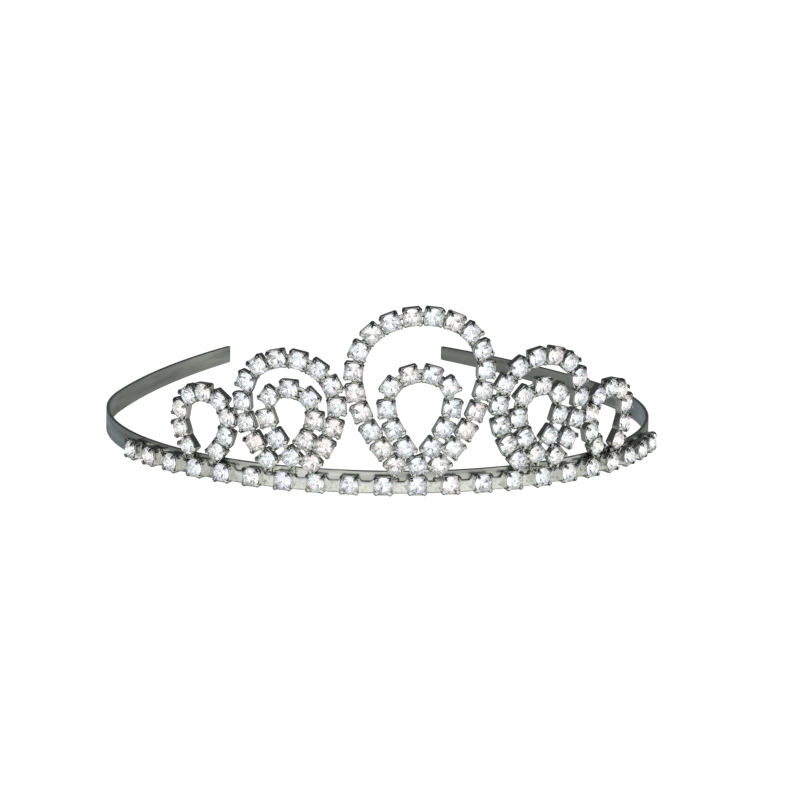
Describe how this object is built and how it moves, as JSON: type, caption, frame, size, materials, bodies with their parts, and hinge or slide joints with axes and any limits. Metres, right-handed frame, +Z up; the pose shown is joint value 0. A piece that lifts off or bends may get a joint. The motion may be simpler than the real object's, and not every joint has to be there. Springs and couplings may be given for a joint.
{
  "type": "bridal tiara",
  "caption": "Bridal tiara: flat springy steel headband with a base row of set crystals and nested teardrop loops of square cup chain, tallest at the front.",
  "frame": {"origin": "on the plane the headband's lower edge rests on, under the middle of the whole piece", "axes": "+Z up, the front of the tiara towards -Y, +X to the right as seen from the front (the wearer's left)"},
  "size_m": [0.1352, 0.1568, 0.0465],
  "materials": {
    "band_steel": "polished flat strip with fine lengthwise grain",
    "plated_chain": "bright silver plating, a little darker in the recesses",
    "crystal": "clear faceted crystal with a silver foil back"
  },
  "bodies": {
    "root": {"headband": "band_steel", "base_chain": "plated_chain", "centre_outer_chain": "plated_chain", "centre_inner_chain": "plated_chain", "left_mid_outer_chain": "plated_chain", "left_mid_inner_chain": "plated_chain", "left_drop_chain": "plated_chain", "right_mid_outer_chain": "plated_chain", "right_mid_inner_chain": "plated_chain", "right_drop_chain": "plated_chain", "centre_stone_1": "crystal", "centre_stone_2": "crystal", "centre_stone_3": "crystal", "centre_stone_4": "crystal", "centre_stone_5": "crystal", "centre_stone_6": "crystal", "centre_stone_7": "crystal", "centre_stone_8": "crystal", "centre_stone_9": "crystal", "centre_stone_10": "crystal", "centre_stone_11": "crystal", "centre_stone_12": "crystal", "centre_stone_13": "crystal", "centre_stone_14": "crystal", "centre_stone_15": "crystal", "centre_stone_16": "crystal", "centre_stone_17": "crystal", "centre_stone_18": "crystal", "centre_stone_19": "crystal", "centre_stone_20": "crystal", "left_mid_stone_1": "crystal", "left_mid_stone_2": "crystal", "left_mid_stone_3": "crystal", "left_mid_stone_4": "crystal", "left_mid_stone_5": "crystal", "left_mid_stone_6": "crystal", "left_mid_stone_7": "crystal", "left_mid_stone_8": "crystal", "left_mid_stone_9": "crystal", "left_mid_stone_10": "crystal", "left_mid_stone_11": "crystal", "left_mid_stone_12": "crystal", "left_mid_stone_13": "crystal", "left_mid_stone_14": "crystal", "right_mid_stone_1": "crystal", "right_mid_stone_2": "crystal", "right_mid_stone_3": "crystal", "right_mid_stone_4": "crystal", "right_mid_stone_5": "crystal", "right_mid_stone_6": "crystal", "right_mid_stone_7": "crystal", "right_mid_stone_8": "crystal", "right_mid_stone_9": "crystal", "right_mid_stone_10": "crystal", "right_mid_stone_11": "crystal", "right_mid_stone_12": "crystal", "right_mid_stone_13": "crystal", "right_mid_stone_14": "crystal"}
  },
  "joints": []
}
